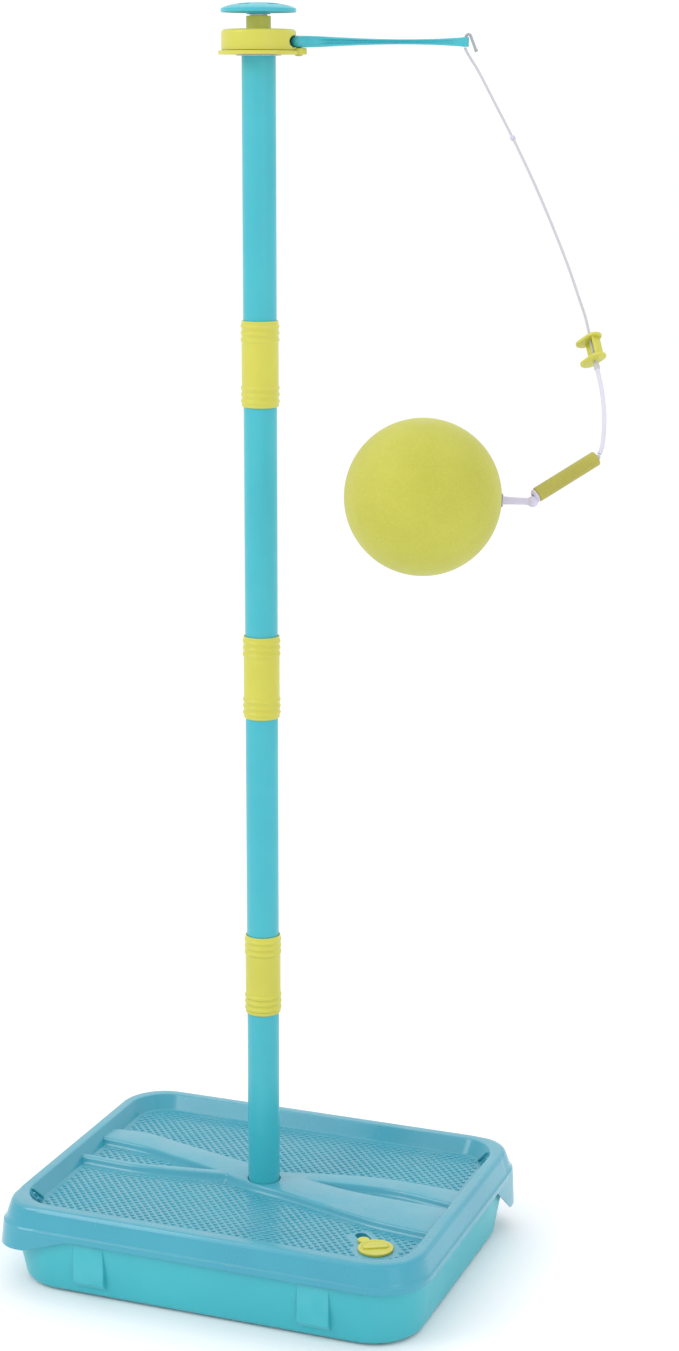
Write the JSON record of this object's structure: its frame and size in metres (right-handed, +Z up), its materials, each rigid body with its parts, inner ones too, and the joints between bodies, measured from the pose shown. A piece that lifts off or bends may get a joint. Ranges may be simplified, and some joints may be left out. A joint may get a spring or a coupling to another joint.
{
  "type": "tetherball set",
  "caption": "Free-standing tetherball set: case-like weighted base, sectional pole, spinning head with an arm, and a ball on a line with a grip sleeve.",
  "frame": {"origin": "on the floor, under the pole's axis and the middle of the base", "axes": "+Z up along the pole, +X along the base's long side, +Y towards the base's back"},
  "size_m": [0.6439, 0.4589, 1.3651],
  "materials": {
    "tub": "satin moulded",
    "deck": "gloss moulded",
    "pole": "smooth",
    "lime": "satin moulded",
    "ball": "matte grained",
    "white": "satin",
    "cord": "braided",
    "steel": "brushed",
    "rubber": "matte"
  },
  "bodies": {
    "base": {"tub": "tub", "foot_pad_1": "rubber", "foot_pad_2": "rubber", "foot_pad_3": "rubber", "foot_pad_4": "rubber"},
    "lid": {"deck_lid": "deck", "ballast_tray": "deck", "pole_socket": "deck", "bung_seal": "rubber"},
    "bung": {"filler_bung": "lime"},
    "section_1": {"pole_tube_1": "pole", "pole_collar_1": "lime"},
    "section_2": {"pole_tube_2": "pole", "pole_collar_2": "lime"},
    "section_3": {"pole_tube_3": "pole", "pole_collar_3": "lime"},
    "section_4": {"pole_tube_4": "pole", "pole_plug": "pole", "spindle": "steel", "retaining_ring": "steel", "head_cap": "pole"},
    "hub": {"hub_drum": "lime", "hub_flange": "lime", "hub_screw_1": "steel", "hub_screw_2": "steel", "hub_screw_3": "steel", "upper_bush": "white", "lower_bush": "white", "thrust_washer": "white", "arm_pin": "lime", "arm_pin_nut": "lime", "arm": "pole", "line_tail": "cord", "tail_ferrule": "cord"},
    "tether": {"line": "cord", "stop_bead": "cord", "line_ferrule": "lime", "leader": "cord", "leader_knot": "white"},
    "clip": {"line_clip": "lime"},
    "grip": {"grip_sleeve": "lime", "sleeve_core": "cord", "sleeve_plug": "white"},
    "ball": {"ball": "ball", "ball_link": "white"}
  },
  "joints": [
    {"name": "lid_lift", "type": "slide", "parent": "base", "child": "lid", "axis": [0, 0, 1], "range_m": [0, 0.1]},
    {"name": "bung_lift", "type": "slide", "parent": "lid", "child": "bung", "axis": [0, 0, 1], "range_m": [0, 0.03]},
    {"name": "pole_lift", "type": "slide", "parent": "lid", "child": "section_1", "axis": [0, 0, 1], "range_m": [0, 0.06]},
    {"name": "section_2_lift", "type": "slide", "parent": "section_1", "child": "section_2", "axis": [0, 0, 1], "range_m": [0, 0.05]},
    {"name": "section_3_lift", "type": "slide", "parent": "section_2", "child": "section_3", "axis": [0, 0, 1], "range_m": [0, 0.05]},
    {"name": "section_4_lift", "type": "slide", "parent": "section_3", "child": "section_4", "axis": [0, 0, 1], "range_m": [0, 0.05]},
    {"name": "hub_spin", "type": "hinge", "parent": "section_4", "child": "hub", "pos_m": [0, 0, 1.33], "axis": [0, 0, 1], "continuous": true},
    {"name": "tether_swing", "type": "hinge", "parent": "hub", "child": "tether", "pos_m": [0.19631, 0.07457, 1.3194], "axis": [0.9348, 0.3551, 0], "range_deg": [-45, 95]},
    {"name": "clip_slide", "type": "slide", "parent": "tether", "child": "clip", "axis": [-0.3499, 0.4501, 0.8216], "range_m": [0, 0.012]},
    {"name": "sleeve_swing", "type": "hinge", "parent": "tether", "child": "grip", "pos_m": [0.39562, -0.1133, 0.937], "axis": [0.3439, -0.8181, 0.4609], "range_deg": [-12, 70]},
    {"name": "ball_swing", "type": "hinge", "parent": "grip", "child": "ball", "pos_m": [0.3449, -0.15749, 0.8976], "axis": [0.3333, -0.8154, 0.4733], "range_deg": [-8, 30]}
  ]
}
